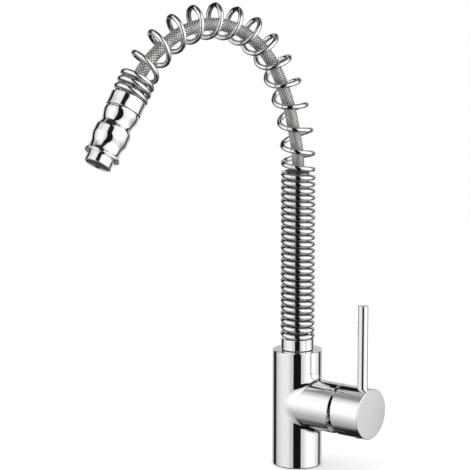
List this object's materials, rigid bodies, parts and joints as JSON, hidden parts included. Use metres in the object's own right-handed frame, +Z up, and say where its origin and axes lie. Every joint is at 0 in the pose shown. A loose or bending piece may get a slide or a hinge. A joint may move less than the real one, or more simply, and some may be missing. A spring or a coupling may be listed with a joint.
{
  "type": "kitchen mixer tap",
  "caption": "Deck-mounted kitchen mixer tap with a spring neck over a pull-out spray handset and a side lever.",
  "frame": {"origin": "middle of the foot, on the worktop, on the body's own axis", "axes": "+Z up along the body and the spout's swivel axis, +X along the side branch towards the lever, -Y roughly towards the sink; the spout is stored turned 8.4 degrees from -Y"},
  "size_m": [0.142, 0.2873, 0.5161],
  "materials": {
    "chrome": "bright polished plating",
    "bare_brass": "machined",
    "bare_steel": "bare",
    "mesh_steel": "perforated, matt",
    "black_rubber": "moulded",
    "black_plastic": "moulded",
    "white_plastic": "moulded",
    "grey_plastic": "moulded",
    "disc_ceramic": "lapped",
    "hose_braid": "fine braid"
  },
  "bodies": {
    "base": {"body_casting": "chrome", "base_seal": "black_rubber", "threaded_shank": "bare_brass", "rubber_washer": "black_rubber", "clamp_washer": "bare_steel", "fixing_nut": "bare_brass", "hose_grommet": "black_plastic", "swivel_glide_ring": "white_plastic", "cartridge_seal": "black_rubber", "cartridge_base": "white_plastic", "fixed_disc": "disc_ceramic", "cartridge_housing": "white_plastic", "cartridge_nut": "bare_brass", "cartridge_dome": "chrome"},
    "spout": {"spout_ferrule": "chrome", "spigot_clip": "bare_steel", "spigot_o_ring": "black_rubber", "riser_tube": "bare_steel", "riser_bush": "white_plastic", "spring": "chrome", "docking_collar": "chrome", "collar_bush": "white_plastic", "spray_hose": "hose_braid"},
    "hose_end": {"hose_sleeve": "bare_steel", "hose_stem": "bare_brass"},
    "handset": {"hose_nut": "bare_brass", "inlet_washer": "black_rubber", "check_valve": "white_plastic", "handset_shell": "chrome", "aerator_seal": "black_rubber", "aerator_housing": "chrome", "aerator_insert": "grey_plastic", "aerator_mesh": "mesh_steel"},
    "rotor": {"cartridge_rotor": "black_plastic", "pivot_pin": "bare_steel"},
    "lever": {"spindle": "bare_steel", "lever_cap": "chrome", "lever_rod": "chrome", "grub_screw": "bare_steel", "index_plug": "grey_plastic"},
    "disc": {"disc_carrier": "white_plastic", "moving_disc": "disc_ceramic"}
  },
  "joints": [
    {"name": "spout_swivel", "type": "hinge", "parent": "base", "child": "spout", "pos_m": [0, 0, 0.1176], "axis": [0, 0, 1], "range_deg": [-180, 180]},
    {"name": "handset_pull", "type": "slide", "parent": "spout", "child": "hose_end", "axis": [-0.0796, -0.5388, -0.8387], "range_m": [0, 0.3], "deforming": ["spray_hose"]},
    {"name": "handset_spin", "type": "hinge", "parent": "hose_end", "child": "handset", "pos_m": [-0.03142, -0.21279, 0.37926], "axis": [-0.0796, -0.5388, -0.8387], "continuous": true},
    {"name": "lever_turn", "type": "hinge", "parent": "base", "child": "rotor", "pos_m": [0.0472, 0, 0.0641], "axis": [1, 0, 0], "range_deg": [-40, 40]},
    {"name": "lever_tilt", "type": "hinge", "parent": "rotor", "child": "lever", "pos_m": [0.0472, 0, 0.0641], "axis": [0, 1, 0], "range_deg": [0, 12]},
    {"name": "disc_slide", "type": "slide", "parent": "rotor", "child": "disc", "axis": [0, 0, 1], "range_m": [0, 0.0028]}
  ],
  "couplings": [
    {"joint": "disc_slide", "follows": "lever_tilt", "m_per_rad": 0.0132}
  ]
}
